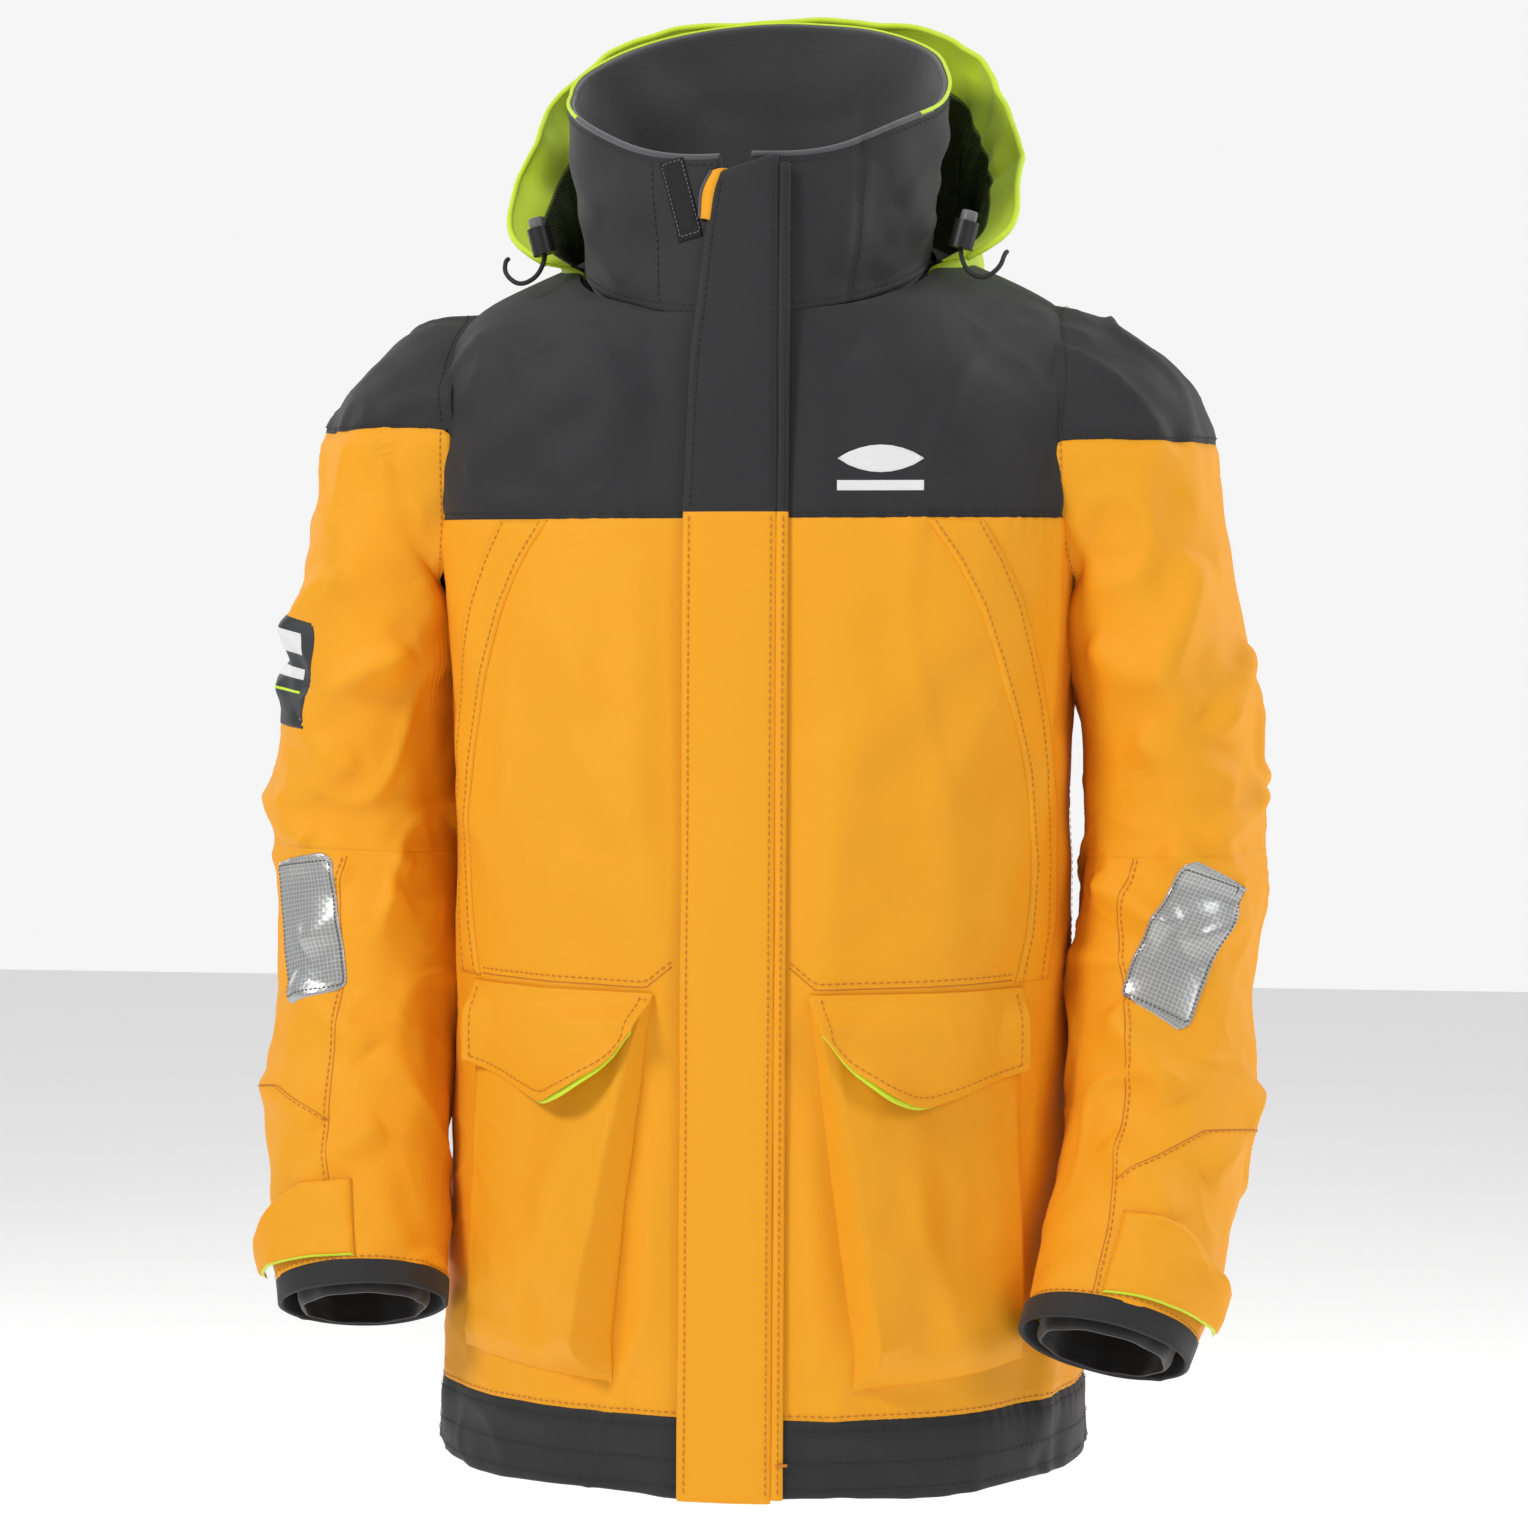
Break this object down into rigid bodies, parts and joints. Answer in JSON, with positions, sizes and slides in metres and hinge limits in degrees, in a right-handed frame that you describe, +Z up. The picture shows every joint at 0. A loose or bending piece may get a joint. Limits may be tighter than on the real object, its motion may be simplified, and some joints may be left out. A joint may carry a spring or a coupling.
{
  "type": "foul weather jacket",
  "caption": "Hooded foul weather jacket with a front zip under a storm flap, cargo pockets, fleece-lined collar and adjustable cuffs, for sailing and wet weather.",
  "frame": {"origin": "where a peg bears on the hang loop inside the back of the collar", "axes": "+Z up, the front closure faces -Y, the wearer's left sleeve is on +X"},
  "size_m": [0.6437, 0.3951, 0.9317],
  "materials": {
    "orange_shell": "woven ripstop",
    "charcoal_shell": "woven",
    "hi_vis_shell": "woven",
    "black_mesh": "knitted mesh",
    "fleece": "brushed fleece",
    "dark_lining": "taffeta",
    "neoprene": "matt",
    "reflective": "retroreflective film",
    "zip_plastic": "moulded",
    "zip_tape": "woven tape",
    "metal": "black coated",
    "print_white": "heat transfer",
    "hook_tape": "hook and loop",
    "lock_plastic": "moulded",
    "cord": "braided elastic"
  },
  "bodies": {
    "jacket": {"hem_band": "charcoal_shell", "back_panel": "orange_shell", "front_panel_left": "orange_shell", "front_panel_right": "orange_shell", "back_yoke": "charcoal_shell", "front_yoke_left": "charcoal_shell", "front_yoke_right": "charcoal_shell", "body_lining": "dark_lining", "collar_shell": "charcoal_shell", "collar_lining": "fleece", "hang_loop": "zip_tape", "zip_tape_left": "zip_tape", "zip_tape_right": "zip_tape", "zip_teeth_left": "zip_plastic", "zip_teeth_right": "zip_plastic", "zip_box": "zip_plastic", "wind_flap": "dark_lining", "storm_flap_seam": "orange_shell", "pocket_bag_left": "orange_shell", "pocket_bag_right": "orange_shell", "hand_pocket_welt_left": "orange_shell", "hand_pocket_welt_right": "orange_shell", "chest_emblem": "print_white", "collar_hook_patch": "hook_tape"},
    "storm_flap": {"storm_flap_lower": "orange_shell", "storm_flap_upper": "charcoal_shell", "storm_flap_hooks": "hook_tape"},
    "zip_slider": {"zip_slider": "metal", "zip_pull": "metal"},
    "hood": {"hood_shell": "hi_vis_shell", "hood_mesh_lining": "black_mesh", "hood_brim": "hi_vis_shell", "cord_lock_left": "lock_plastic", "cord_lock_right": "lock_plastic", "hood_drawcord_left": "cord", "hood_drawcord_right": "cord"},
    "pocket_flap_left": {"pocket_flap_left": "orange_shell", "pocket_flap_lining_left": "hi_vis_shell"},
    "upper_sleeve_left": {"sleeve_cap_left": "charcoal_shell", "upper_sleeve_left": "orange_shell"},
    "forearm_left": {"forearm_left": "orange_shell", "cuff_binding_left": "charcoal_shell", "inner_cuff_left": "neoprene", "reflector_left": "reflective"},
    "cuff_tab_left": {"cuff_tab_left": "orange_shell"},
    "lock_button_left": {"lock_button_left": "lock_plastic"},
    "pocket_flap_right": {"pocket_flap_right": "orange_shell", "pocket_flap_lining_right": "hi_vis_shell"},
    "upper_sleeve_right": {"sleeve_cap_right": "charcoal_shell", "upper_sleeve_right": "orange_shell", "sleeve_badge": "print_white"},
    "forearm_right": {"forearm_right": "orange_shell", "cuff_binding_right": "charcoal_shell", "inner_cuff_right": "neoprene", "reflector_right": "reflective"},
    "cuff_tab_right": {"cuff_tab_right": "orange_shell"},
    "lock_button_right": {"lock_button_right": "lock_plastic"}
  },
  "joints": [
    {"name": "storm_flap_fold", "type": "hinge", "parent": "jacket", "child": "storm_flap", "pos_m": [0.0264, -0.2296, -0.807], "axis": [0, 0.0432, 0.9991], "range_deg": [0, 120]},
    {"name": "zip_slide", "type": "slide", "parent": "jacket", "child": "zip_slider", "axis": [0, -0.0432, -0.9991], "range_m": [-0.02, 0.72]},
    {"name": "hood_raise", "type": "hinge", "parent": "jacket", "child": "hood", "pos_m": [0, -0.126, -0.072], "axis": [1, 0, 0], "range_deg": [0, 65]},
    {"name": "pocket_flap_lift_left", "type": "hinge", "parent": "jacket", "child": "pocket_flap_left", "pos_m": [0.05236, -0.22604, -0.517], "axis": [-0.8447, -0.5353, 0], "range_deg": [0, 120]},
    {"name": "shoulder_left", "type": "hinge", "parent": "jacket", "child": "upper_sleeve_left", "pos_m": [0.19, -0.06, -0.089], "axis": [0, -1, 0], "range_deg": [0, 40]},
    {"name": "elbow_left", "type": "hinge", "parent": "upper_sleeve_left", "child": "forearm_left", "pos_m": [0.258, -0.136, -0.422], "axis": [-1, 0, 0], "range_deg": [0, 60]},
    {"name": "cuff_tab_left", "type": "hinge", "parent": "forearm_left", "child": "cuff_tab_left", "pos_m": [0.23499, -0.21993, -0.64397], "axis": [-0.1801, -0.5, -0.8471], "range_deg": [0, 90]},
    {"name": "lock_press_left", "type": "slide", "parent": "hood", "child": "lock_button_left", "axis": [-0.2588, 0, -0.9659], "range_m": [0, 0.004], "stiffness_N_per_m": 400, "springref_m": -0.002},
    {"name": "pocket_flap_lift_right", "type": "hinge", "parent": "jacket", "child": "pocket_flap_right", "pos_m": [-0.05236, -0.22604, -0.517], "axis": [-0.8447, 0.5353, 0], "range_deg": [0, 120]},
    {"name": "shoulder_right", "type": "hinge", "parent": "jacket", "child": "upper_sleeve_right", "pos_m": [-0.19, -0.06, -0.089], "axis": [0, 1, 0], "range_deg": [0, 40]},
    {"name": "elbow_right", "type": "hinge", "parent": "upper_sleeve_right", "child": "forearm_right", "pos_m": [-0.258, -0.136, -0.422], "axis": [-1, 0, 0], "range_deg": [0, 60]},
    {"name": "cuff_tab_right", "type": "hinge", "parent": "forearm_right", "child": "cuff_tab_right", "pos_m": [-0.24031, -0.20486, -0.63515], "axis": [-0.094, 0.4384, 0.8939], "range_deg": [0, 90]},
    {"name": "lock_press_right", "type": "slide", "parent": "hood", "child": "lock_button_right", "axis": [0.2588, 0, -0.9659], "range_m": [0, 0.004], "stiffness_N_per_m": 400, "springref_m": -0.002}
  ]
}
